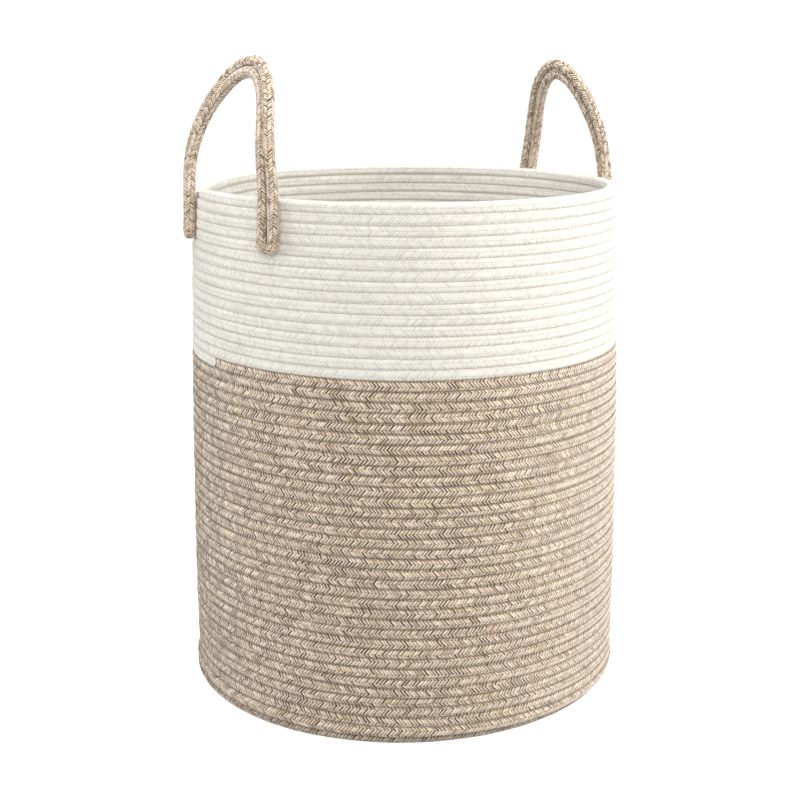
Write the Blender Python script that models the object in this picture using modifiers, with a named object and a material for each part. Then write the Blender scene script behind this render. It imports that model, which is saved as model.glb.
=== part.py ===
"""Coiled rope laundry basket: stitched rope wall in two colours, with two doubled rope handles.

Frame: origin at the centre of the underside, +Z up. The left handle is on -X and the right one on +X.
Each handle's free loop folds about a level line along Y, just above the rim.
"""
import math

import bmesh
import bpy
from mathutils import Vector

# ---- driving dimensions, metres ----
ROPE_PITCH = 0.00975          # height of one course of coiled rope
ROPE_DIAMETER = 0.0095
ROPE_RADIUS = ROPE_DIAMETER / 2
GAP = 0.0003                  # clearance between pieces that touch
COURSES = 52                  # courses of rope in the wall, rim included
PALE_COURSES = 16             # of these, the pale ones at the top
RIM_RADIUS = 0.2104           # outer radius at the rim
FOOT_RADIUS = 0.2205          # outer radius that the wall tapers to at the floor
BELLY = 0.0034                # how far the wall bows out between the two
CORNER_RADIUS = 1.5 * ROPE_PITCH
WALL_STEPS = 64               # facets round the wall
COURSES_PER_POINT = 6         # courses between two points of the wall's profile
RIM_SIDES = 8                 # sides of the rim course's section
MERGE_DISTANCE = 0.0001       # joins the first and last facet of a turned ring

HEIGHT = COURSES * ROPE_PITCH  # the rim's height
COLOUR_LINE = (COURSES - PALE_COURSES) * ROPE_PITCH
RIM_BOTTOM = HEIGHT - ROPE_DIAMETER

SEWN_DROP = 0.050             # how far the sewn ends reach below the rim
RUN_SPACING = ROPE_DIAMETER + GAP
SPLAY = 0.0012                # extra half-spacing at the bottom of a sewn end
HINGE_RISE = 0.0130           # the fold line's height above the rim
TACK_RADIUS = 0.0007          # thread that binds a sewn end
TACK_RISE = 0.0075            # its height above the sewn end's bottom
TACK_STANDOFF = GAP + 1.2 * TACK_RADIUS  # from the rope to the thread's middle, with room for its facets
TACK_STEPS = 4                # bends of the thread over each rope
STRAIGHT_STEPS = 4            # steps down each run of a sewn end
U_TURN_STEPS = 8              # steps round its bottom

# A handle's centre line in its own upright plane: Y across, Z above the rim. It is two Bezier arcs that
# meet level at the crown. Each arc's pulls are the one above its leg and the one beside the crown.
HANDLES = {
    "left": {
        "side": -1,
        "half_span": 0.0739,
        "crown": (0.0010, 0.1138),
        "front_pulls": ((-0.0690, 0.0528), (-0.0418, 0.1138)),
        "rear_pulls": ((0.0860, 0.0400), (0.0480, 0.1138)),
        "lean": 0.0290,
    },
    "right": {
        "side": 1,
        "half_span": 0.0652,
        "crown": (-0.0010, 0.1084),
        "front_pulls": ((-0.0566, 0.0540), (-0.0337, 0.1084)),
        "rear_pulls": ((0.0555, 0.0490), (0.0323, 0.1084)),
        "lean": 0.0166,
    },
}
LEAN_POWER = 1.6              # the loop leans in more and more towards its crown
ARC_STEPS = 13                # points on each Bezier arc
BEVEL_RESOLUTION = 2          # eight sides round a rope


def clear_scene():
    for thing in list(bpy.data.objects):
        bpy.data.objects.remove(thing, do_unlink=True)


def new_collection(name):
    made = bpy.data.collections.new(name)
    bpy.context.scene.collection.children.link(made)
    return made


def material(name, colour, roughness):
    made = bpy.data.materials.new(name)
    made.use_nodes = True
    shader = made.node_tree.nodes["Principled BSDF"]
    shader.inputs["Base Color"].default_value = (*colour, 1.0)
    shader.inputs["Roughness"].default_value = roughness
    shader.inputs["Metallic"].default_value = 0.0
    return made


def add_object(name, data, finish, collection):
    made = bpy.data.objects.new(name, data)
    data.materials.append(finish)
    collection.objects.link(made)
    return made


def wall_radius(height):
    """Outer radius of the wall at a height above the corner."""
    down = (HEIGHT - height) / HEIGHT
    return RIM_RADIUS + (FOOT_RADIUS - RIM_RADIUS) * down + 4 * BELLY * down * (1 - down)


# ---- wall and base ----
def turned(name, profile, finish, collection):
    """A closed ring turned from a closed profile of (radius, height), listed down its outer side first."""
    mesh = bpy.data.meshes.new(name)
    edges = [(i, (i + 1) % len(profile)) for i in range(len(profile))]
    mesh.from_pydata([(radius, 0.0, height) for radius, height in profile], edges, [])
    made = add_object(name, mesh, finish, collection)
    screw = made.modifiers.new("Turn", "SCREW")
    screw.axis = "Z"
    screw.angle = math.tau
    screw.steps = WALL_STEPS
    screw.render_steps = WALL_STEPS
    screw.use_merge_vertices = True
    screw.merge_threshold = MERGE_DISTANCE
    screw.use_smooth_shade = True
    return made


def wall_profile(bottom, top):
    """Outer side from top to bottom, then the inner side back up, one rope thick."""
    count = max(2, round((top - bottom) / (COURSES_PER_POINT * ROPE_PITCH)) + 1)
    heights = [top + (bottom - top) * i / (count - 1) for i in range(count)]
    outer = [(wall_radius(z), z) for z in heights]
    inner = [(wall_radius(z) - ROPE_DIAMETER, z) for z in reversed(heights)]
    return outer, inner


def corner_arc(centre_radius, arc_radius, steps):
    """Quarter round from the wall's side down to the underside."""
    points = []
    for i in range(1, steps + 1):
        angle = math.pi / 2 * i / steps
        radius = centre_radius + arc_radius * math.cos(angle)
        points.append((radius, CORNER_RADIUS - arc_radius * math.sin(angle)))
    return points


def build_base(radius, finish, collection):
    """The flat coil of the base, as a plain disc one rope thick."""
    bm = bmesh.new()
    bmesh.ops.create_cone(bm, cap_ends=True, segments=WALL_STEPS, radius1=radius, radius2=radius,
                          depth=ROPE_DIAMETER)
    mesh = bpy.data.meshes.new("base_coil")
    bm.to_mesh(mesh)
    bm.free()
    base = add_object("base_coil", mesh, finish, collection)
    base.location.z = ROPE_DIAMETER / 2


def rim_profile():
    """The rim course's section: a regular polygon with a level top side."""
    centre = RIM_RADIUS - ROPE_RADIUS
    points = []
    for i in range(RIM_SIDES):
        angle = math.pi / 2 - (i + 0.5) * math.tau / RIM_SIDES
        height = HEIGHT - ROPE_RADIUS + ROPE_RADIUS * math.sin(angle)
        points.append((centre + ROPE_RADIUS * math.cos(angle), height))
    return points


def build_wall(pale, tan, collection):
    corner_centre = wall_radius(CORNER_RADIUS) - CORNER_RADIUS
    build_base(corner_centre - GAP, tan, collection)

    outer, inner = wall_profile(CORNER_RADIUS, COLOUR_LINE - GAP)
    under = corner_arc(corner_centre, CORNER_RADIUS, steps=4)
    inside = corner_arc(corner_centre, CORNER_RADIUS - ROPE_DIAMETER, steps=2)
    turned("tan_wall", outer + under + inside[::-1] + inner, tan, collection)

    outer, inner = wall_profile(COLOUR_LINE, RIM_BOTTOM - GAP)
    turned("pale_wall", outer + inner, pale, collection)
    turned("rim_course", rim_profile(), pale, collection)


# ---- handles ----
def rope(name, points, radius, finish, collection):
    """A capped tube along a list of points."""
    curve = bpy.data.curves.new(name, "CURVE")
    curve.dimensions = "3D"
    curve.bevel_depth = radius
    curve.bevel_resolution = BEVEL_RESOLUTION
    curve.use_fill_caps = True
    spline = curve.splines.new("POLY")
    spline.points.add(len(points) - 1)
    for point, place in zip(spline.points, points):
        point.co = (*place, 1.0)
    return add_object(name, curve, finish, collection)


def bezier_point(pulls, t):
    """The point at t, from 0 to 1, on a cubic Bezier arc given by its four control points."""
    weights = ((1 - t) ** 3, 3 * (1 - t) ** 2 * t, 3 * (1 - t) * t ** 2, t ** 3)
    return sum((weight * Vector(pull) for weight, pull in zip(weights, pulls)), Vector((0.0, 0.0)))


def rising_arc(leg_y, pulls, crown):
    """Points (y, height above the rim) from the fold line up one leg to the crown."""
    controls = ((leg_y, 0.0), *pulls, crown)
    low, high = 0.0, 1.0
    while high - low > 1e-6:
        middle = (low + high) / 2
        if bezier_point(controls, middle).y < HINGE_RISE:
            low = middle
        else:
            high = middle
    return [bezier_point(controls, low + (1 - low) * i / (ARC_STEPS - 1)) for i in range(ARC_STEPS)]


def loop_centre_line(handle):
    """Points (y, height above the rim) over the crown, from one end at the fold line to the other."""
    up = rising_arc(-handle["half_span"], handle["front_pulls"], handle["crown"])
    down = rising_arc(handle["half_span"], handle["rear_pulls"], handle["crown"])
    return up + down[-2::-1]


def fold_line(handle):
    """The middle of a handle's fold line, just outside the ropes of its sewn ends."""
    inner_run_y = handle["half_span"] - RUN_SPACING / 2
    rope_centre = math.sqrt((RIM_RADIUS + GAP + ROPE_RADIUS) ** 2 - inner_run_y ** 2)
    return Vector((handle["side"] * (rope_centre + ROPE_RADIUS + GAP), 0.0, HEIGHT + HINGE_RISE))


def loop_run(handle, offset):
    """One of the two ropes of a free loop, offset sideways from the loop's centre line.

    The points are measured from the handle's fold line.
    """
    line = loop_centre_line(handle)
    leg_radius = math.sqrt((RIM_RADIUS + GAP + ROPE_RADIUS) ** 2 - handle["half_span"] ** 2)
    points = []
    for i, here in enumerate(line):
        if i in (0, len(line) - 1):
            along = Vector((0.0, 1.0 if i == 0 else -1.0))
        else:
            along = (line[i + 1] - line[i - 1]).normalized()
        y, rise = here + offset * Vector((-along.y, along.x))
        lean = handle["lean"] * (max(rise, 0.0) / handle["crown"][1]) ** LEAN_POWER
        points.append(Vector((handle["side"] * (leg_radius - lean), y, HEIGHT + rise)) - fold_line(handle))
    return points


def on_wall(handle, y, height, standoff):
    """A point outside the wall, a standoff from its surface."""
    distance = wall_radius(height) + standoff
    return Vector((handle["side"] * math.sqrt(distance ** 2 - y ** 2), y, height))


def sewn_end(handle, leg_y):
    """The rope's U turn that is sewn to the wall, from the rim down and back up."""
    half = RUN_SPACING / 2
    turn_height = HEIGHT - SEWN_DROP + ROPE_RADIUS + half + SPLAY
    spread = half + SPLAY
    path = [(leg_y - half, HEIGHT - GAP)]
    for i in range(1, STRAIGHT_STEPS):
        share = i / STRAIGHT_STEPS
        path.append((leg_y - half - SPLAY * share, HEIGHT - GAP + (turn_height - HEIGHT) * share))
    for i in range(U_TURN_STEPS + 1):
        angle = math.pi * (1 + i / U_TURN_STEPS)
        path.append((leg_y + spread * math.cos(angle), turn_height + spread * math.sin(angle)))
    path += [(2 * leg_y - y, z) for y, z in reversed(path[:STRAIGHT_STEPS])]
    return [on_wall(handle, y, z, GAP + ROPE_RADIUS) for y, z in path]


def tack(handle, leg_y):
    """A thread laid over both ropes of a sewn end, from the wall on one side to the wall on the other."""
    height = HEIGHT - SEWN_DROP + TACK_RISE
    reach = ROPE_RADIUS + TACK_STANDOFF
    spread = RUN_SPACING / 2 + SPLAY
    path = [(-spread - reach, TACK_RADIUS + GAP)]
    for side, start in ((-1, math.pi), (1, math.pi / 2)):
        for i in range(TACK_STEPS + 1):
            angle = start - math.pi / 2 * i / TACK_STEPS
            out = GAP + ROPE_RADIUS + reach * math.sin(angle)
            path.append((side * spread + reach * math.cos(angle), out))
    path.append((spread + reach, TACK_RADIUS + GAP))
    return [on_wall(handle, leg_y + y, height, out) for y, out in path]


def build_handle(name, handle, tan, thread, collection):
    pivot = bpy.data.objects.new(f"{name}_handle_fold_line", None)
    pivot.empty_display_size = handle["half_span"]
    pivot.location = fold_line(handle)
    collection.objects.link(pivot)
    for run, offset in (("outer", RUN_SPACING / 2), ("inner", -RUN_SPACING / 2)):
        made = rope(f"{name}_handle_{run}_rope", loop_run(handle, offset), ROPE_RADIUS, tan, collection)
        made.parent = pivot
    for place, leg_y in (("front", -handle["half_span"]), ("rear", handle["half_span"])):
        rope(f"{name}_handle_{place}_sewn_end", sewn_end(handle, leg_y), ROPE_RADIUS, tan, collection)
        rope(f"{name}_handle_{place}_tack", tack(handle, leg_y), TACK_RADIUS, thread, collection)


def main():
    clear_scene()
    collection = new_collection("rope_basket")
    pale = material("pale_cotton_rope", (0.76, 0.74, 0.67), 0.9)
    tan = material("tan_heather_rope", (0.46, 0.36, 0.26), 0.9)
    thread = material("tan_thread", (0.55, 0.42, 0.28), 0.7)
    build_wall(pale, tan, collection)
    for name, handle in HANDLES.items():
        build_handle(name, handle, tan, thread, collection)


main()
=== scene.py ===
"""Looks for the coiled rope laundry basket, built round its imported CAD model.

One braided rope runs as a flat spiral in the base, turns the corner and climbs the wall as a helix: tan
first, then off-white from the splice up. A zigzag seam joins each course to the next. Each handle is one
more rope, doubled, with both U turns sewn to the wall outside.
"""
import math
from collections import namedtuple

import bpy
import numpy as np
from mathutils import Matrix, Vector


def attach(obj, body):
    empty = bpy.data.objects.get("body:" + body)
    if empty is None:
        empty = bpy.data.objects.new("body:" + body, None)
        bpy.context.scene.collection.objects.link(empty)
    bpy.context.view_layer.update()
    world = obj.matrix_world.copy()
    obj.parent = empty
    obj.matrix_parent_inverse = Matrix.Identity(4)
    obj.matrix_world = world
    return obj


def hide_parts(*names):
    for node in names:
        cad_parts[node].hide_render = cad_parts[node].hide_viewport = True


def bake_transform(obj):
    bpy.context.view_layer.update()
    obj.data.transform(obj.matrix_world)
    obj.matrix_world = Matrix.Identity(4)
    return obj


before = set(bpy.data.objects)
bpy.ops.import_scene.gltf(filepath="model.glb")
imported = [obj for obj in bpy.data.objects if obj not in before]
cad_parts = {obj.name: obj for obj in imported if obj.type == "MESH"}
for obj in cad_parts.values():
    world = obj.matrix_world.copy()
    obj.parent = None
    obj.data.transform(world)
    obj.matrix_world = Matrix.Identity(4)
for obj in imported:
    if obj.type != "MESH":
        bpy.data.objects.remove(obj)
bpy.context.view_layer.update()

# ---- driving dimensions, metres, as the CAD has them ----
PITCH = 0.00975               # height of one course of coiled rope
ROPE_RADIUS = 0.00475
GAP = 0.0003                  # clearance between pieces that touch
COURSES = 52                  # courses of rope in the wall, rim included
PALE_COURSES = 16             # of these, the off-white ones at the top
HEIGHT = COURSES * PITCH
RIM_RADIUS = 0.2104           # the wall's outer radius at the rim
FOOT_RADIUS = 0.2205          # and at the floor
BELLY = 0.0034                # how far the wall bows out between the two
CORNER_RADIUS = 1.5 * PITCH
SEWN_DROP = 0.050             # how far the handles' sewn ends reach below the rim
HINGE_RISE = 0.0130           # the fold line's height above the rim
TACK_RISE = 0.0075            # the binding's height above a sewn end's bottom

# ---- where the coiled rope strays from the CAD's smooth wall ----
BULGE = 0.0015                # how far the lowest courses press out all round
LEFT_BULGE = 0.0090           # and how much more where the corner is squarer
BULGE_ANGLE = math.radians(192)
BULGE_HEIGHT = 0.015          # the bulge fades out over this height
SLOW_WAVE = 0.0005            # height of three waves round the wall
QUICK_WAVE = 0.00025          # and of seven
WAVE_TURNS = 6                # turns over which the waves set in above the base
COIL_WAVES = ((0.012, 61, 0.0), (0.010, 143, 1.3))  # in the rope's thickness, see waves()
COIL_TWIST = 2.9              # length over which the rope twists once

# ---- the handles, close to the CAD's, of rope that isn't pressed between courses ----
HANDLE_RADIUS = 1.12 * ROPE_RADIUS
RUN_PRESS = 0.0004            # a handle's two runs press together a little
RUN_SPACING = 2 * HANDLE_RADIUS - RUN_PRESS
SPLAY = 0.0008                # extra half-spacing at the bottom of a sewn end

# Each free loop is a Bezier arc from either leg to the crown. Its points are (along the rim, above it).
HANDLES = {
    "left": {
        "side": -1,
        "half_span": 0.0739,
        "shift": -0.009,      # along the rim
        "crown": (0.0010, 0.1138),
        "front_pulls": ((-0.0690, 0.0528), (-0.0418, 0.1138)),
        "rear_pulls": ((0.0940, 0.0400), (0.0520, 0.1138)),
        "lean": 0.0290,       # how far the crown leans inwards
    },
    "right": {
        "side": 1,
        "half_span": 0.0652,
        "shift": -0.002,
        "crown": (-0.0010, 0.1084),
        "front_pulls": ((-0.0566, 0.0540), (-0.0337, 0.1084)),
        "rear_pulls": ((0.0555, 0.0490), (0.0323, 0.1084)),
        "lean": 0.0166,
    },
}
LEAN_POWER = 1.6              # the loop leans in more and more towards its crown
LEG_REACH = 0.095             # up to here the two runs stay side by side along the rim's curve
LOOP_STEPS = 120              # points on each Bezier arc
LEG_STEPS = 12                # points down each run of a sewn end
U_TURN_STEPS = 17             # points round its bottom
PATH_STEP = 0.001             # spacing of the points on a handle's whole path
PATH_SMOOTHING = 9            # points that are averaged to smooth it
HANDLE_WAVES = ((0.02, 55, 0.0), (0.015, 131, 2.0))
HANDLE_TWIST = 1.7

# ---- the braid ----
CHEVRON = 1.30                # strand spacings that a strand climbs while it crosses one column
COURSE_HALF = 0.545 * PITCH   # half height of a course, more than half a pitch as courses press together
STRAND_SEED = 11
STRAND_DRAWS = 997            # strands before the random heights repeat

# strand: spacing of the strands along the rope. columns: columns of strands round it, leaning to and fro
# by turns. rows: rows of points to a strand. around: points round the rope. relief: depth of the lines.
# section: squareness of the rope's section, 2 being an ellipse.
Braid = namedtuple("Braid", "strand columns rows around relief section")
TAN_BRAID = Braid(strand=0.0033, columns=6, rows=2, around=24, relief=0.00040, section=3.0)
BASE_BRAID = TAN_BRAID._replace(around=18)
PALE_BRAID = TAN_BRAID._replace(relief=0.00018, section=3.8)
HANDLE_BRAID = Braid(strand=0.0026, columns=8, rows=4, around=40, relief=0.00050, section=2.0)

# ---- the zigzag seam and the binding ----
STITCH = 0.0061               # length of one zig and one zag
TAN_STITCH_REACH = 0.0013     # how far the zigzag reaches above and below the groove
PALE_STITCH_REACH = 0.0022
SEAM_HALF_WIDTH = 0.00026
SEAM_CROWN = 0.00014          # how far the middle of the seam's thread stands out
SEAM_INSET = 0.14             # share of a stitch that is cut off at each corner of the zigzag
PIT_ANGLE = 0.135             # how far the needle's pits lie from the course's underside, in turns
PIT_HALF_ANGLE = 0.035        # a pit's size, in turns round the rope
PIT_HALF_LENGTH = 0.15        # and in stitches along it
THREAD_RADIUS = 0.00035       # thread that binds the handles' feet
THREAD_SIDES = 5
WRAPS = 2                     # stitches over both runs of a foot
WRAP_SPACING = 0.0018
WRAP_LIFT = 0.0010            # the lower wrap's height above the CAD's binding
WRAP_TILT = 0.0005            # how far a wrap climbs from the middle of the foot to a run's middle
WRAP_STANDOFF = 0.0002        # from the rope's surface to the middle of the thread
WRAP_ARCS = ((-1, 190, 55), (1, 125, -10))  # side of each run, and where the thread meets and leaves it
WRAP_STEPS = 8                # points on each of these arcs
EDGE_STITCHES = 8             # stitches down either side of a foot
EDGE_SPACING = 0.0052
EDGE_LIFT = 0.008             # the lowest edge stitch's height above the foot's bottom
EDGE_SLANT = 0.0022           # how far an edge stitch falls on its way to the wall
EDGE_STEPS = 5

# ---- the spiral, counted in turns; turn 51 is the rim course at the front ----
CORNER_TURN = 1.0             # where the rope leaves the corner for the wall
FRONT_RIM_TURN = 51.0
SPLICE_TURN = 35.16           # where off-white rope follows tan, under the middle of the left handle
SPLICE_ANGLE = math.pi
RIM_END_TURN = SPLICE_TURN + PALE_COURSES + 0.056   # the rope ends behind the left handle's rear leg
RIM_SETTLE = 0.16             # past the rope's end the courses rise over this share of a turn
START_GAP = 0.6 * PITCH       # from the middle of the base to the start of the rope
END_LENGTH = 0.004            # the rope is pinched this far to both sides of its start and its splice
END_PINCH = 0.22
TAIL_LENGTH = 0.05            # the rope tapers over this length at the rim
TAIL_TAPER = 0.55

# ---- camera ----
CAMERA_AZIMUTH = -33.5
CAMERA_DISTANCE = 1.433
CAMERA_RISE = 0.1287          # above the rim
CAMERA_PITCH = 13.90
CAMERA_LENS = 63.72
SENSOR = 36.0
FRAME_SHIFT = -0.00625        # share of the frame that the object stands off its middle

# ---- studio ----
WARM_WHITE = (1.0, 0.99, 0.975)
COOL_WHITE = (0.985, 0.99, 1.0)
WORLD_LIGHT = 0.18
BACKDROP_GLOW = 1.05          # the world's strength where the camera sees it
FLOOR_SIZE = 40.0
FLOOR_GREY = 0.45
FLOOR_GLOW = 0.95             # the floor's own light where the camera sees it


def smoothstep(x):
    x = np.clip(x, 0.0, 1.0)
    return x * x * (3 - 2 * x)


def waves(length, terms):
    """A sum of sine waves along the rope, each given as its size, radians a metre and phase."""
    return sum(size * np.sin(length * rate + phase) for size, rate, phase in terms)


def wall_radius(height):
    """Outer radius of the wall at a height above the floor."""
    down = (HEIGHT - height) / HEIGHT
    return RIM_RADIUS + (FOOT_RADIUS - RIM_RADIUS) * down + 4 * BELLY * down * (1 - down)


def unit(vectors):
    return vectors / np.linalg.norm(vectors, axis=1)[:, None]


def link(name, data):
    """A new object in the scene, for a mesh, a camera or a light."""
    made = bpy.data.objects.new(name, data)
    bpy.context.scene.collection.objects.link(made)
    return made


# ---- the spiral ----
CORNER_CENTRE = wall_radius(CORNER_RADIUS) - CORNER_RADIUS
ARC_RADIUS = CORNER_RADIUS - ROPE_RADIUS
CORNER_TURNS = math.pi / 2 * ARC_RADIUS / PITCH
BASE_TURN = CORNER_TURN - CORNER_TURNS
START_TURN = BASE_TURN - (CORNER_CENTRE - START_GAP) / PITCH
SEAM_START_TURN = START_TURN + 1.2
SEAM_END_TURN = RIM_END_TURN - 0.03


def course_stretch(turn):
    """How much the courses are stretched upwards to keep the rim level, although the rope is a helix."""
    past_end = (turn - RIM_END_TURN) % 1.0
    climb = FRONT_RIM_TURN - CORNER_TURN
    at_end = climb / (RIM_END_TURN - CORNER_TURN)
    level = climb / (RIM_END_TURN - 1 - CORNER_TURN + past_end)
    return at_end + (level - at_end) * smoothstep(past_end / RIM_SETTLE)


def corner_bulge(angle, height):
    """How far the lowest courses press out, most of all on the left."""
    lobe = np.clip(np.cos(angle - BULGE_ANGLE), 0.0, None) ** 2
    return (BULGE + LEFT_BULGE * lobe) * np.exp(-(height / BULGE_HEIGHT) ** 2)


def wall_waves(angle, turn):
    """How far the courses stand in or out, in waves that drift from course to course."""
    slow = SLOW_WAVE * np.sin(3 * angle + 0.8 * np.sin(turn * 0.37))
    quick = QUICK_WAVE * np.sin(7 * angle + turn * 1.7)
    return (slow + quick) * np.clip(turn / WAVE_TURNS, 0.0, 1.0)


def spiral_place(turn):
    """The rope's centre, outward normal and the direction to the next course, at each turn of an array."""
    angle = SPLICE_ANGLE - 2 * math.pi * (turn - SPLICE_TURN)
    height = CORNER_RADIUS + (turn - CORNER_TURN) * PITCH * course_stretch(turn)
    bend = np.clip((turn - BASE_TURN) / CORNER_TURNS, 0.0, 1.0) * math.pi / 2
    radius = CORNER_CENTRE + ARC_RADIUS * np.sin(bend)
    radius = radius - np.clip(BASE_TURN - turn, 0.0, None) * PITCH
    above_corner = turn > CORNER_TURN
    radius = np.where(above_corner, wall_radius(height) - ROPE_RADIUS, radius)
    height = np.where(above_corner, height, CORNER_RADIUS - ARC_RADIUS * np.cos(bend))
    radius = radius + wall_waves(angle, turn) + corner_bulge(angle, height) * np.sin(bend)
    outward = np.stack([np.cos(angle), np.sin(angle), np.zeros_like(angle)], -1)
    up = np.array([0.0, 0.0, 1.0])
    centre = outward * radius[..., None] + up * height[..., None]
    normal = outward * np.sin(bend)[..., None] - up * np.cos(bend)[..., None]
    onward = outward * np.cos(bend)[..., None] + up * np.sin(bend)[..., None]
    return centre, normal, onward


def path_lengths(points):
    steps = np.linalg.norm(np.diff(points, axis=0), axis=1)
    return np.concatenate([[0.0], np.cumsum(steps)])


SPIRAL_STEPS = 60000
SPIRAL_TURNS = np.linspace(START_TURN, RIM_END_TURN, SPIRAL_STEPS)
SPIRAL_LENGTHS = path_lengths(spiral_place(SPIRAL_TURNS)[0])


def turn_at(length):
    return np.interp(length, SPIRAL_LENGTHS, SPIRAL_TURNS)


def length_at(turn):
    return np.interp(turn, SPIRAL_TURNS, SPIRAL_LENGTHS)


def coil_rope(length):
    """Where the coiled rope lies, and its section, at each length of an array."""
    turn = turn_at(length)
    centre, normal, onward = spiral_place(turn)
    whole = np.ones_like(turn)
    for end in (SPLICE_TURN, START_TURN):
        distance = np.abs(length - length_at(end)) / END_LENGTH
        whole = whole - END_PINCH * (1 - smoothstep(distance))
    tail = 1 - smoothstep((length_at(RIM_END_TURN) - length) / TAIL_LENGTH)
    whole = whole * (1 - TAIL_TAPER * tail)
    centre = centre - onward * (0.5 * PITCH * (1 - whole) * (tail > 0))[..., None]
    half_out = ROPE_RADIUS * whole * (1 + waves(length, COIL_WAVES))
    half_up = COURSE_HALF * whole
    twist = 2 * math.pi * length / COIL_TWIST + 0.35 * np.sin(length * 10.3)
    return centre, normal, onward, half_out, half_up, twist


# ---- meshes ----
def tube_faces(rows, around):
    """The quads of a tube of points, rows along it and columns round it, and its end caps' triangles."""
    corner = np.arange(rows * around).reshape(rows, around)
    after = np.roll(corner, -1, axis=1)
    quads = np.stack([corner[:-1], after[:-1], after[1:], corner[1:]], -1).reshape(-1, 4)
    caps = rows * around + np.arange(2)
    first = np.stack([np.full(around, caps[0]), after[0], corner[0]], -1)
    last = np.stack([np.full(around, caps[1]), corner[-1], after[-1]], -1)
    return quads, np.concatenate([first, last])


def rope_mesh(name, verts, quads, tris):
    """A smooth mesh from arrays, which is much quicker than from lists for the ropes' many faces."""
    mesh = bpy.data.meshes.new(name)
    mesh.vertices.add(len(verts))
    mesh.vertices.foreach_set("co", verts.astype(np.float32).ravel())
    loops = np.concatenate([quads.ravel(), tris.ravel()]).astype(np.int32)
    totals = np.concatenate([np.full(len(quads), 4), np.full(len(tris), 3)]).astype(np.int32)
    starts = np.concatenate([[0], np.cumsum(totals)[:-1]]).astype(np.int32)
    mesh.loops.add(len(loops))
    mesh.loops.foreach_set("vertex_index", loops)
    mesh.polygons.add(len(totals))
    mesh.polygons.foreach_set("loop_start", starts)
    mesh.polygons.foreach_set("loop_total", totals)
    mesh.update(calc_edges=True)
    mesh.polygons.foreach_set("use_smooth", np.ones(len(totals), bool))
    return mesh


def add_uv_map(mesh, name, quad_uv):
    """A UV map from the corners of a tube's quads. Each cap takes the first corner of its end."""
    around = quad_uv.shape[1]
    cap_uv = np.repeat([quad_uv[0, 0, 0], quad_uv[-1, 0, 2]], 3 * around, axis=0)
    data = np.concatenate([quad_uv.reshape(-1, 2), cap_uv]).astype(np.float32)
    mesh.uv_layers.new(name=name).data.foreach_set("uv", data.ravel())


def tube(name, points, strands, columns, length, share):
    """A capped tube through a grid of points, rows along it and columns round it.

    It carries two UV maps: Weave counts strands and columns of the braid, and Course gives the length
    along the rope and the share of a turn round its section.
    """
    rows, around = points.shape[:2]
    verts = np.concatenate([points.reshape(-1, 3), points[[0, -1]].mean(1)])
    mesh = rope_mesh(name, verts, *tube_faces(rows, around))
    row_of = np.stack([np.arange(rows - 1)] * 2 + [np.arange(1, rows)] * 2, -1)
    row_of = np.repeat(row_of[:, None, :], around, axis=1)
    ring = np.arange(around)
    column_of = np.stack([ring, ring + 1, ring + 1, ring], -1)[None].repeat(rows - 1, 0)
    wrapped = column_of % around
    turned = share[row_of, wrapped]
    turned = turned - np.round(turned - turned[..., :1])
    add_uv_map(mesh, "Weave", np.stack([strands[row_of], columns[column_of]], -1))
    add_uv_map(mesh, "Course", np.stack([length[row_of, wrapped], turned], -1))
    return link(name, mesh)


def braided_rope(name, place, first, last, braid):
    """A rope between two strand numbers along a path, with its strands as relief in the mesh."""
    strands = np.arange(first * braid.rows, last * braid.rows + 1) / braid.rows
    columns = np.arange(braid.around + 1) * braid.columns / braid.around
    ring = columns[:-1]
    zigzag = 1 - np.abs(ring % 2 - 1)
    length = (strands[:, None] + CHEVRON * zigzag[None, :]) * braid.strand
    centre, normal, onward, half_out, half_up, twist = place(length)

    across = np.abs(ring % 1 * 2 - 1)
    valley = (0.5 - 0.5 * np.cos(2 * math.pi * strands)) ** 0.8
    draws = np.random.RandomState(STRAND_SEED).uniform(0.0, 0.3, (STRAND_DRAWS, braid.columns))
    own = draws[np.round(strands).astype(int) % STRAND_DRAWS][:, np.floor(ring).astype(int)]
    between_strands = 0.75 * valley[:, None] * (1 - 0.4 * across ** 2)
    between_columns = 0.45 * across ** 3
    sunk = braid.relief * (between_strands + between_columns + 0.5 * own)

    angle = 2 * math.pi * ring[None] / braid.columns + twist
    cosine, sine = np.cos(angle), np.sin(angle)
    reach = (np.abs(cosine / (half_out - sunk)) ** braid.section
             + np.abs(sine / (half_up - sunk)) ** braid.section) ** (-1 / braid.section)
    points = centre + normal * (reach * cosine)[..., None] + onward * (reach * sine)[..., None]
    return tube(name, points, strands + 0.5, columns, length, angle / (2 * math.pi))


def thread_mesh(name, verts, faces):
    """A smooth mesh from lists of faces."""
    mesh = bpy.data.meshes.new(name)
    mesh.from_pydata(verts, [], faces)
    mesh.polygons.foreach_set("use_smooth", np.ones(len(faces), bool))
    return mesh


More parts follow.
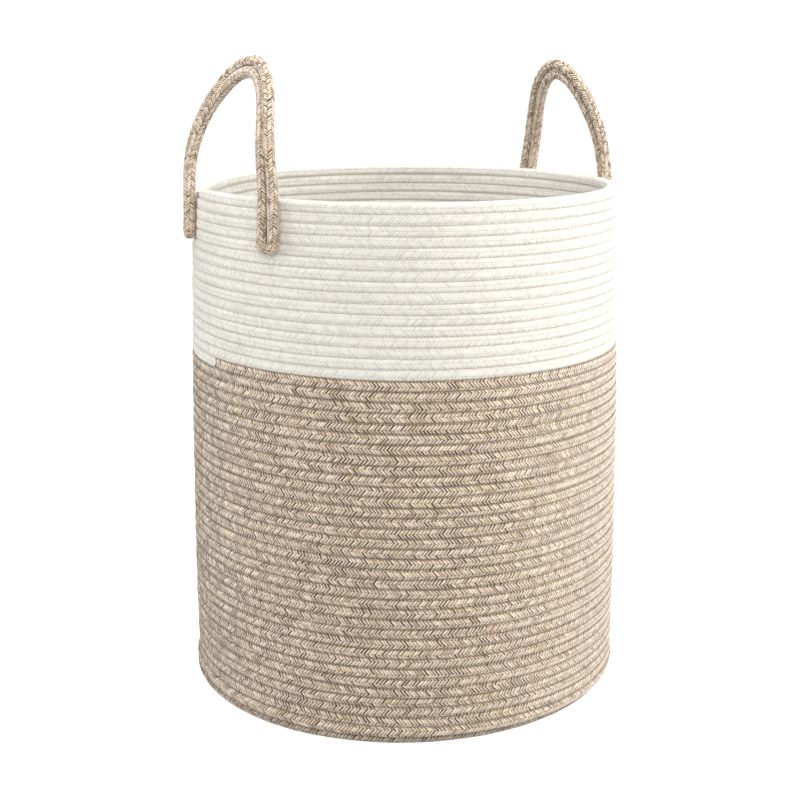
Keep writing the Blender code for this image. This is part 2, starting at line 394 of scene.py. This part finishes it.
def thread_tubes(name, lines, radius):
    """Sewing threads: a thin round tube along each line of points, all in one mesh."""
    verts, faces = [], []
    for line in lines:
        along = unit(np.gradient(line, axis=0))
        helper = np.where(np.abs(along[:, 2:3]) > 0.9, [[1.0, 0.0, 0.0]], [[0.0, 0.0, 1.0]])
        side = unit(np.cross(along, helper))
        over = np.cross(side, along)
        angle = 2 * math.pi * np.arange(THREAD_SIDES)[None, :, None] / THREAD_SIDES
        ring = side[:, None] * np.cos(angle) + over[:, None] * np.sin(angle)
        base = sum(len(v) for v in verts)
        verts.append((line[:, None] + radius * ring).reshape(-1, 3))
        corner = base + np.arange(len(line) * THREAD_SIDES).reshape(len(line), THREAD_SIDES)
        after = np.roll(corner, -1, axis=1)
        faces += np.stack([corner[:-1], corner[1:], after[1:], after[:-1]], -1).reshape(-1, 4).tolist()
        faces += [corner[0].tolist(), corner[-1][::-1].tolist()]
    return link(name, thread_mesh(name, np.concatenate(verts), faces))


def seam_ribbon(name, points, outward):
    """The zigzag seam: a low crowned ribbon through points that alternate below and above the groove."""
    start, end = points[:-1], points[1:]
    inset = SEAM_INSET * (end - start)
    line = np.stack([start + inset, end - inset], 1)
    along = np.repeat((end - start)[:, None], 2, axis=1)
    out = np.repeat(outward[:-1, None], 2, axis=1)
    line, along, out = (values.reshape(-1, 3) for values in (line, along, out))
    across = SEAM_HALF_WIDTH * unit(np.cross(out, along))
    verts = np.stack([line - across, line + out * SEAM_CROWN, line + across], 1)
    corner = np.arange(len(line) * 3).reshape(-1, 3)
    quads = np.stack([corner[:-1, :2], corner[:-1, 1:], corner[1:, 1:], corner[1:, :2]], -1).reshape(-1, 4)
    return link(name, thread_mesh(name, verts.reshape(-1, 3), quads.tolist()))


# ---- materials ----
FIBRES_PER_STRAND = 9.0       # cells of the fibres' noise
FIBRES_PER_COLUMN = 2.2
CLOUD_SCALE = 14.0            # of the slow changes of tone
PIT_DEPTH = 8.0               # of the seam's pits, next to the depth of the braid's lines


class Graph:
    """A material's node tree, with short calls for the nodes that are used here."""

    def __init__(self, name):
        self.material = bpy.data.materials.new(name)
        self.material.use_nodes = True
        self.tree = self.material.node_tree
        self.shader = self.tree.nodes["Principled BSDF"]

    def node(self, kind, inputs=(), **settings):
        made = self.tree.nodes.new(kind)
        for key, value in settings.items():
            setattr(made, key, value)
        for key, value in dict(inputs).items():
            self.feed(made.inputs[key], value)
        return made

    def feed(self, socket, value):
        if isinstance(value, bpy.types.NodeSocket):
            self.tree.links.new(value, socket)
        else:
            socket.default_value = value

    def math(self, operation, *values):
        made = self.node("ShaderNodeMath", operation=operation)
        for socket, value in zip(made.inputs, values):
            self.feed(socket, value)
        return made.outputs[0]

    def vector(self, x, y):
        return self.node("ShaderNodeCombineXYZ", {"X": x, "Y": y}).outputs[0]

    def place(self):
        return self.node("ShaderNodeTexCoord").outputs["Object"]

    def uv(self, layer):
        pair = self.node("ShaderNodeUVMap", uv_map=layer).outputs[0]
        split = self.node("ShaderNodeSeparateXYZ", {0: pair})
        return split.outputs[0], split.outputs[1]

    def off_middle(self, value):
        """How far value is from half way between two whole numbers, 0 to 0.5."""
        return self.math("ABSOLUTE", self.math("SUBTRACT", self.math("FRACT", value), 0.5))

    def edge(self, value, power):
        """1 at each whole number of value, falling to 0 half way between."""
        return self.math("POWER", self.math("MULTIPLY", self.off_middle(value), 2.0), power)

    def noise(self, where, scale):
        made = self.node("ShaderNodeTexNoise", {"Vector": where, "Scale": scale, "Detail": 2.0})
        return made.outputs[0]

    def random(self, x, y):
        made = self.node("ShaderNodeTexWhiteNoise", {"Vector": self.vector(x, y)}, noise_dimensions="2D")
        return made.outputs[0]

    def rescale(self, value, low, high, to_low, to_high):
        made = self.node("ShaderNodeMapRange")
        for index, number in enumerate((value, low, high, to_low, to_high)):
            self.feed(made.inputs[index], number)
        return made.outputs[0]

    def pick(self, value, stops):
        """The colour of the last stop that isn't above value."""
        made = self.node("ShaderNodeValToRGB", {"Fac": value})
        made.color_ramp.interpolation = "CONSTANT"
        elements = made.color_ramp.elements
        elements[0].position, elements[0].color = stops[0][0], (*stops[0][1], 1.0)
        elements[1].position, elements[1].color = stops[-1][0], (*stops[-1][1], 1.0)
        for position, colour in stops[1:-1]:
            elements.new(position).color = (*colour, 1.0)
        return made.outputs[0]

    def darken(self, amount, mask):
        """A factor for shade(), down by amount where the mask is 1."""
        return self.rescale(mask, 0.0, 1.0, 1.0, 1.0 - amount)

    def shade(self, colour, *factors):
        """The colour times each factor in turn."""
        for factor in factors:
            made = self.node("ShaderNodeVectorMath", operation="SCALE")
            self.feed(made.inputs[0], colour)
            self.feed(made.inputs["Scale"], factor)
            colour = made.outputs[0]
        return colour


def stitch_pits(graph):
    """1 in the middle of the small pits where the seam's needle went through a course, 0 round them."""
    along, around = graph.uv("Course")
    from_stitch = graph.off_middle(graph.math("DIVIDE", along, STITCH))
    from_underside = graph.off_middle(graph.math("ADD", around, 0.75))
    across = graph.math("DIVIDE", graph.math("SUBTRACT", from_underside, PIT_ANGLE), PIT_HALF_ANGLE)
    beside = graph.math("DIVIDE", from_stitch, PIT_HALF_LENGTH)
    squares = [graph.math("MULTIPLY", distance, distance) for distance in (across, beside)]
    return graph.rescale(graph.math("ADD", *squares), 0.0, 1.0, 1.0, 0.0)


def rope_tones(graph, strand, own_column, tones, contrast):
    """A tone for each of the two plies of each strand, further apart with more contrast."""
    ply = graph.math("FLOOR", graph.math("MULTIPLY", strand, 2.0))
    own = graph.math("MULTIPLY", graph.random(ply, own_column), 1.0 - contrast)
    by_turns = graph.math("MULTIPLY", graph.math("MODULO", ply, 2.0), contrast)
    return graph.pick(graph.math("ADD", own, by_turns), tones)


def rope_material(name, tones, *, contrast, mottle, relief, sheen,
                  valley, ply_line_shade, column_line_shade, groove, pits):
    """Braided cotton rope. The last five arguments are how much painted shade darkens each kind of line,
    in place of the shade that falls into these creases and hollows.

    A valley lies between two strands, a ply line down the middle of one, a column line where the strands
    change their lean, the groove between two courses, and the pits at the seam's stitches.
    """
    graph = Graph(name)
    strand, column = graph.uv("Weave")
    _, around = graph.uv("Course")
    own_column = graph.math("FLOOR", column)
    grain = graph.vector(graph.math("MULTIPLY", strand, FIBRES_PER_STRAND),
                         graph.math("MULTIPLY", column, FIBRES_PER_COLUMN))
    fibres = graph.noise(grain, 1.0)
    clouds = graph.noise(graph.place(), CLOUD_SCALE)
    pit = stitch_pits(graph)

    # a valley lies at a whole strand, so half a strand keeps the draw for its depth apart from the plies'
    draw = graph.random(graph.math("ADD", graph.math("ROUND", strand), 0.5), own_column)
    valley_depth = graph.rescale(draw, 0.0, 1.0, 0.55, 1.0)
    valley_edge = graph.math("MULTIPLY", graph.edge(strand, 1.8), valley_depth)
    ply_edge = graph.edge(graph.math("MULTIPLY", strand, 2.0), 3.0)
    column_edge = graph.edge(column, 6.0)
    # painted shade in the groove between two courses, deeper where the valleys between strands meet it
    groove_side = graph.edge(graph.math("MULTIPLY_ADD", around, 2.0, 0.5), 3.0)
    shadow = graph.math("MULTIPLY", groove_side, graph.rescale(valley_edge, 0.0, 1.0, 0.25, 1.0))
    # the plies' tones under painted shade in the valleys, ply lines, column lines, pits and groove, then
    # mottled by fibres and clouds
    colour = graph.shade(
        rope_tones(graph, strand, own_column, tones, contrast),
        graph.darken(valley, valley_edge),
        graph.darken(ply_line_shade, ply_edge),
        graph.darken(column_line_shade, column_edge),
        graph.darken(pits, pit),
        graph.darken(groove, shadow),
        graph.rescale(fibres, 0.25, 0.75, 1.0 - mottle, 1.0 + mottle),
        graph.rescale(clouds, 0.3, 0.7, 0.97, 1.03),
    )
    graph.feed(graph.shader.inputs["Base Color"], colour)
    graph.feed(graph.shader.inputs["Roughness"], graph.rescale(fibres, 0.2, 0.8, 0.78, 0.98))
    graph.shader.inputs["Sheen Weight"].default_value = sheen
    graph.shader.inputs["Sheen Roughness"].default_value = 0.5
    graph.shader.inputs["Specular IOR Level"].default_value = 0.25

    height = graph.math("MULTIPLY", graph.math("ADD", valley_edge, column_edge), -1.0)
    height = graph.math("SUBTRACT", height, graph.math("MULTIPLY", ply_edge, 0.4))
    height = graph.math("ADD", height, graph.math("MULTIPLY", fibres, 0.5))
    height = graph.math("SUBTRACT", height, graph.math("MULTIPLY", pit, PIT_DEPTH * pits))
    bump = graph.node("ShaderNodeBump", {"Height": height, "Distance": relief, "Strength": 0.9})
    graph.feed(graph.shader.inputs["Normal"], bump.outputs[0])
    return graph.material


def thread_material(name, colour):
    """Sewing thread, with a fine mottle of fibres."""
    graph = Graph(name)
    fibres = graph.noise(graph.place(), 1800.0)
    mottled = graph.shade(colour, graph.rescale(fibres, 0.25, 0.75, 0.85, 1.12))
    graph.feed(graph.shader.inputs["Base Color"], mottled)
    graph.feed(graph.shader.inputs["Roughness"], graph.rescale(fibres, 0.2, 0.8, 0.6, 0.8))
    bump = graph.node("ShaderNodeBump", {"Height": fibres, "Distance": 0.0002, "Strength": 0.6})
    graph.feed(graph.shader.inputs["Normal"], bump.outputs[0])
    return graph.material


def floor_material():
    graph = Graph("pale_floor")
    grain = graph.noise(graph.place(), 40.0)
    graph.shader.inputs["Base Color"].default_value = (FLOOR_GREY, FLOOR_GREY, FLOOR_GREY, 1.0)
    graph.feed(graph.shader.inputs["Roughness"], graph.rescale(grain, 0.3, 0.7, 0.75, 0.85))
    graph.shader.inputs["Specular IOR Level"].default_value = 0.1
    graph.shader.inputs["Emission Color"].default_value = (1.0, 1.0, 1.0, 1.0)
    seen = graph.node("ShaderNodeLightPath").outputs["Is Camera Ray"]
    graph.feed(graph.shader.inputs["Emission Strength"], graph.math("MULTIPLY", seen, FLOOR_GLOW))
    return graph.material


TAN_TONES = [
    (0.00, (0.120, 0.070, 0.038)),
    (0.07, (0.330, 0.225, 0.135)),
    (0.18, (0.520, 0.385, 0.275)),
    (0.34, (0.720, 0.570, 0.405)),
    (0.50, (0.975, 0.825, 0.635)),
    (0.80, (0.975, 0.800, 0.690)),
]
PALE_TONES = [
    (0.00, (0.675, 0.655, 0.595)),
    (0.22, (0.770, 0.750, 0.687)),
    (0.60, (0.818, 0.799, 0.735)),
    (0.86, (0.828, 0.789, 0.731)),
]


# ---- pieces ----
def make_band(name, node, start, end, braid, finish, slot):
    """The coiled rope from one turn to another, in place of a CAD node or a part of it."""
    first, last = (math.floor(length_at(turn) / braid.strand) for turn in (start, end))
    made = braided_rope(name, coil_rope, first, last, braid)
    made.data.materials.append(finish)
    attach(made, "basket")
    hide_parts(node)


def make_bands(node, start, end, count, braid, finish, slot):
    """A long stretch of the coiled rope, cut into bands of a few courses each."""
    for i in range(count):
        edges = [start + (end - start) * edge / count for edge in (i, i + 1)]
        make_band(f"{node}_{i + 1:02d}", node, *edges, braid, finish, slot)


def make_seam(name, start, end, side, stitch_reach, braid, finish, slot):
    """The seam in the groove below the rope from one turn to another, on its outer or its inner side."""
    count = int((length_at(end) - length_at(start)) / (STITCH / 2))
    turn = turn_at(length_at(start) + STITCH / 2 * np.arange(count))
    above = np.arange(count) % 2
    centre, normal, onward, half_out, half_up, _ = coil_rope(length_at(turn - 1 + above))
    off = 0.5 * PITCH - stitch_reach
    reach = half_out * (1 - (off / half_up) ** braid.section) ** (1 / braid.section)
    up = np.where(above == 1, -off, off)
    points = centre + normal * (side * reach)[:, None] + onward * up[:, None]
    made = seam_ribbon(name, points, side * normal)
    made.data.materials.append(finish)
    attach(made, "basket")


def make_seams(tan_thread, pale_thread):
    # the tan seams take the darker brown thread, whose darkness is partly painted shade of the grooves
    tan = (TAN_STITCH_REACH, TAN_BRAID, tan_thread, "tan_rope")
    pale = (PALE_STITCH_REACH, PALE_BRAID, pale_thread, "pale_rope")
    pale_start = SPLICE_TURN + 1
    for place, side in (("outside", 1), ("inside", -1)):
        make_seam(f"base_seam_{place}", SEAM_START_TURN, BASE_TURN, side, *tan)
        make_seam(f"tan_seam_{place}", BASE_TURN, pale_start, side, *tan)
        make_seam(f"pale_seam_{place}", pale_start, SEAM_END_TURN, side, *pale)


# ---- camera and studio ----
def build_camera():
    data = bpy.data.cameras.new("camera")
    data.lens = CAMERA_LENS
    data.sensor_width = SENSOR
    data.shift_x = FRAME_SHIFT
    data.clip_start = 0.05
    data.clip_end = 30.0
    made = link("camera", data)
    azimuth = math.radians(CAMERA_AZIMUTH)
    made.location = (CAMERA_DISTANCE * math.sin(azimuth),
                     -CAMERA_DISTANCE * math.cos(azimuth),
                     HEIGHT + CAMERA_RISE)
    made.rotation_euler = (math.radians(90 - CAMERA_PITCH), 0.0, azimuth)
    bpy.context.scene.camera = made


def area_light(name, azimuth, elevation, *, distance, size, energy, colour=WARM_WHITE):
    """A square soft light that faces the basket from a direction given in degrees, as the camera's is."""
    data = bpy.data.lights.new(name, "AREA")
    data.size = size
    data.energy = energy
    data.color = colour
    made = link(name, data)
    turned, raised = math.radians(azimuth), math.radians(elevation)
    level = Vector((math.sin(turned), -math.cos(turned), 0.0))
    back = level * math.cos(raised) + Vector((0.0, 0.0, math.sin(raised)))
    made.location = Vector((0.0, 0.0, HEIGHT / 2)) + back * distance
    made.rotation_mode = "QUATERNION"
    made.rotation_quaternion = (-back).to_track_quat("-Z", "Y")


def build_world():
    """A white world that is bright where the camera sees it and lights the basket only a little."""
    world = bpy.data.worlds.new("studio")
    world.use_nodes = True
    tree = world.node_tree
    background = tree.nodes["Background"]
    background.inputs["Color"].default_value = (1.0, 1.0, 1.0, 1.0)
    seen = tree.nodes.new("ShaderNodeLightPath").outputs["Is Camera Ray"]
    strength = tree.nodes.new("ShaderNodeMapRange")
    strength.inputs["To Min"].default_value = WORLD_LIGHT
    strength.inputs["To Max"].default_value = BACKDROP_GLOW
    tree.links.new(seen, strength.inputs["Value"])
    tree.links.new(strength.outputs[0], background.inputs["Strength"])
    bpy.context.scene.world = world


def build_studio():
    bpy.context.scene.view_settings.view_transform = "Standard"
    build_world()
    area_light("front", CAMERA_AZIMUTH + 6, 35, distance=2.4, size=2.0, energy=49)
    area_light("top", CAMERA_AZIMUTH, 88, distance=2.0, size=1.4, energy=30)
    area_light("right", CAMERA_AZIMUTH + 92, 18, distance=2.2, size=1.6, energy=52)
    area_light("left", CAMERA_AZIMUTH - 92, 18, distance=2.2, size=1.6, energy=32, colour=COOL_WHITE)
    bpy.ops.mesh.primitive_plane_add(size=FLOOR_SIZE)
    floor = bpy.context.object
    floor.name = "floor"
    floor.data.materials.append(floor_material())


# ---- handles ----
def bezier_points(controls, t):
    weights = np.stack([(1 - t) ** 3, 3 * (1 - t) ** 2 * t, 3 * (1 - t) * t ** 2, t ** 3], -1)
    return weights @ np.array(controls)


def loop_line(handle, offset):
    """One run of the free loop, from above its front leg over the crown to above its rear leg."""
    half = handle["half_span"]
    t = np.linspace(0.0, 1.0, LOOP_STEPS)
    up = bezier_points(((-half, 0.0), *handle["front_pulls"], handle["crown"]), t)
    down = bezier_points(((half, 0.0), *handle["rear_pulls"], handle["crown"]), t)[::-1]
    line = np.concatenate([up, down[1:]])
    line = line[line[:, 1] > HINGE_RISE]
    along = unit(np.gradient(line, axis=0))
    line = line + offset * np.stack([-along[:, 1], along[:, 0]], -1)
    line[:, 0] += handle["shift"]
    rim = RIM_RADIUS + GAP + HANDLE_RADIUS
    crown_radius = math.sqrt(rim ** 2 - half ** 2)
    leg_radius = np.sqrt(rim ** 2 - line[:, 0] ** 2)
    radius = leg_radius + (crown_radius - leg_radius) * smoothstep(line[:, 1] / LEG_REACH)
    lean = handle["lean"] * (np.clip(line[:, 1], 0.0, None) / handle["crown"][1]) ** LEAN_POWER
    return np.stack([handle["side"] * (radius - lean), line[:, 0], HEIGHT + line[:, 1]], -1)


def on_wall(handle, y, height, standoff):
    """Points outside the wall, a standoff from its surface."""
    distance = wall_radius(height) + standoff
    return np.stack([handle["side"] * np.sqrt(distance ** 2 - y ** 2), y, height], -1)


def sewn_line(handle, leg_y):
    """The rope's U turn on the wall, from the run on the -Y side round to the one on the +Y side."""
    half = RUN_SPACING / 2
    spread = half + SPLAY
    turn_height = HEIGHT - SEWN_DROP + HANDLE_RADIUS + spread
    share = np.linspace(0.0, 1.0, LEG_STEPS)
    leg = np.stack([leg_y - half - SPLAY * share, HEIGHT - GAP + (turn_height - HEIGHT) * share], -1)
    angle = math.pi * (1 + np.linspace(0.0, 1.0, U_TURN_STEPS)[1:-1])
    turn = np.stack([leg_y + spread * np.cos(angle), turn_height + spread * np.sin(angle)], -1)
    back = leg[::-1] * [-1, 1] + [2 * leg_y, 0]
    flat = np.concatenate([leg, turn, back])
    return on_wall(handle, flat[:, 0], flat[:, 1], GAP + HANDLE_RADIUS)


def handle_line(handle):
    """The doubled rope's whole path. It starts and ends at the bottom of the front U turn."""
    front = sewn_line(handle, handle["shift"] - handle["half_span"])
    rear = sewn_line(handle, handle["shift"] + handle["half_span"])
    middle = len(front) // 2
    outer = loop_line(handle, RUN_SPACING / 2)
    inner = loop_line(handle, -RUN_SPACING / 2)
    # each U turn runs from -Y to +Y: in front its outer run comes first, at the rear its inner run does
    points = np.concatenate([front[middle::-1], outer, rear[::-1], inner[::-1], front[:middle - 1:-1]])
    lengths = path_lengths(points)
    even = np.linspace(0.0, lengths[-1], round(lengths[-1] / PATH_STEP))
    points = np.stack([np.interp(even, lengths, points[:, axis]) for axis in range(3)], -1)
    kernel = np.hanning(PATH_SMOOTHING)
    kernel /= kernel.sum()
    margin = PATH_SMOOTHING // 2
    padded = np.pad(points, ((margin, margin), (0, 0)), mode="edge")
    return np.stack([np.convolve(padded[:, axis], kernel, mode="valid") for axis in range(3)], -1)


def handle_rope(handle):
    """A function that places a handle's rope, as coil_rope does, and the rope's length."""
    points = handle_line(handle)
    lengths = path_lengths(points)
    along = unit(np.gradient(points, axis=0))
    outward = unit(np.array([handle["side"], 0.0, 0.0]) - along * (along[:, :1] * handle["side"]))
    beside = np.cross(along, outward)

    def place(length):
        def sample(values):
            return np.stack([np.interp(length, lengths, values[:, axis]) for axis in range(3)], -1)

        radius = HANDLE_RADIUS * (1 + waves(length, HANDLE_WAVES))
        twist = 2 * math.pi * length / HANDLE_TWIST + 0.5 * np.sin(length * 15)
        return sample(points), sample(outward), sample(beside), radius, radius, twist

    return place, lengths[-1]


def make_handle(name, handle, tan):
    place, length = handle_rope(handle)
    strands = math.floor(length / HANDLE_BRAID.strand - CHEVRON)
    made = braided_rope(f"{name}_handle_rope", place, 0, strands, HANDLE_BRAID)
    made.data.materials.append(tan)
    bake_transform(made)
    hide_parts(*(f"{name}_handle_{part}" for part in
                        ("outer_rope", "inner_rope", "front_sewn_end", "rear_sewn_end")))


def foot_wrap(handle, leg_y, rise, tilt):
    """A stitch over both runs of a foot, from the wall on one side to the wall on the other."""
    reach = HANDLE_RADIUS + WRAP_STANDOFF
    spread = RUN_SPACING / 2 + SPLAY
    across, out = [], []
    for side, start, end in WRAP_ARCS:
        turn = np.radians(np.linspace(start, end, WRAP_STEPS))
        across.append(side * spread + reach * np.cos(turn))
        out.append(GAP + HANDLE_RADIUS + reach * np.sin(turn))
    across, out = np.concatenate(across), np.concatenate(out)
    height = HEIGHT - SEWN_DROP + rise + tilt * across / spread
    return on_wall(handle, leg_y + across, height, out)


def edge_stitch(handle, leg_y, side, rise):
    """A short stitch that hugs the side of a foot, down to the wall beside it."""
    spread = RUN_SPACING / 2 + SPLAY
    t = np.linspace(0.0, 1.0, EDGE_STEPS)
    across = side * (spread + HANDLE_RADIUS * (0.88 + 0.14 * t))
    out = HANDLE_RADIUS * (1.50 - 0.90 * t)
    height = HEIGHT - SEWN_DROP + rise - EDGE_SLANT * t
    return on_wall(handle, leg_y + across, height, out)


def binding_lines(handle, leg_y):
    for i in range(WRAPS):
        rise = TACK_RISE + WRAP_LIFT + WRAP_SPACING * i
        yield foot_wrap(handle, leg_y, rise, WRAP_TILT * (-1) ** i)
    for side in (-1, 1):
        for i in range(EDGE_STITCHES):
            yield edge_stitch(handle, leg_y, side, EDGE_LIFT + EDGE_SPACING * i)


def make_binding(name, handle, thread):
    for place, leg_side in (("front", -1), ("rear", 1)):
        leg_y = handle["shift"] + leg_side * handle["half_span"]
        lines = binding_lines(handle, leg_y)
        made = thread_tubes(f"{name}_handle_{place}_binding", lines, THREAD_RADIUS)
        made.data.materials.append(thread)
        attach(made, "basket")
        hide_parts(f"{name}_handle_{place}_tack")


def main():
    # the five darkenings after sheen are painted shade in the braid's creases, the grooves between courses
    # and the needle's pits
    tan = rope_material(
        "tan_heather_rope", TAN_TONES, contrast=0.40, mottle=0.18, relief=0.00045, sheen=0.5,
        valley=0.90, ply_line_shade=0.40, column_line_shade=0.35, groove=0.80, pits=0.0)
    handle_tan = rope_material(
        "tan_handle_rope", TAN_TONES, contrast=0.16, mottle=0.18, relief=0.00040, sheen=0.4,
        valley=0.90, ply_line_shade=0.40, column_line_shade=0.60, groove=0.0, pits=0.0)
    pale = rope_material(
        "off_white_rope", PALE_TONES, contrast=0.20, mottle=0.08, relief=0.00040, sheen=0.15,
        valley=0.14, ply_line_shade=0.06, column_line_shade=0.06, groove=0.04, pits=0.20)
    tan_thread = thread_material("tan_thread", (0.66, 0.52, 0.34))
    # the tan seams' thread is dark brown: partly the thread's colour, partly painted shade of the groove
    # it lies in
    brown_thread_groove_shade = thread_material("brown_thread_groove_shade", (0.24, 0.165, 0.10))
    cream_thread = thread_material("cream_thread", (0.80, 0.76, 0.68))
    rim_start = RIM_END_TURN - 1
    make_bands("base_coil", START_TURN, BASE_TURN, 3, BASE_BRAID, tan, "tan_rope")
    make_bands("tan_wall", BASE_TURN, SPLICE_TURN, 9, TAN_BRAID, tan, "tan_rope")
    make_bands("pale_wall", SPLICE_TURN, rim_start, 4, PALE_BRAID, pale, "pale_rope")
    make_band("rim_course_rope", "rim_course", rim_start, RIM_END_TURN, PALE_BRAID, pale, "pale_rope")
    make_seams(brown_thread_groove_shade, cream_thread)
    for name, handle in HANDLES.items():
        make_handle(name, handle, handle_tan)
        make_binding(name, handle, tan_thread)
    build_studio()
    build_camera()


main()
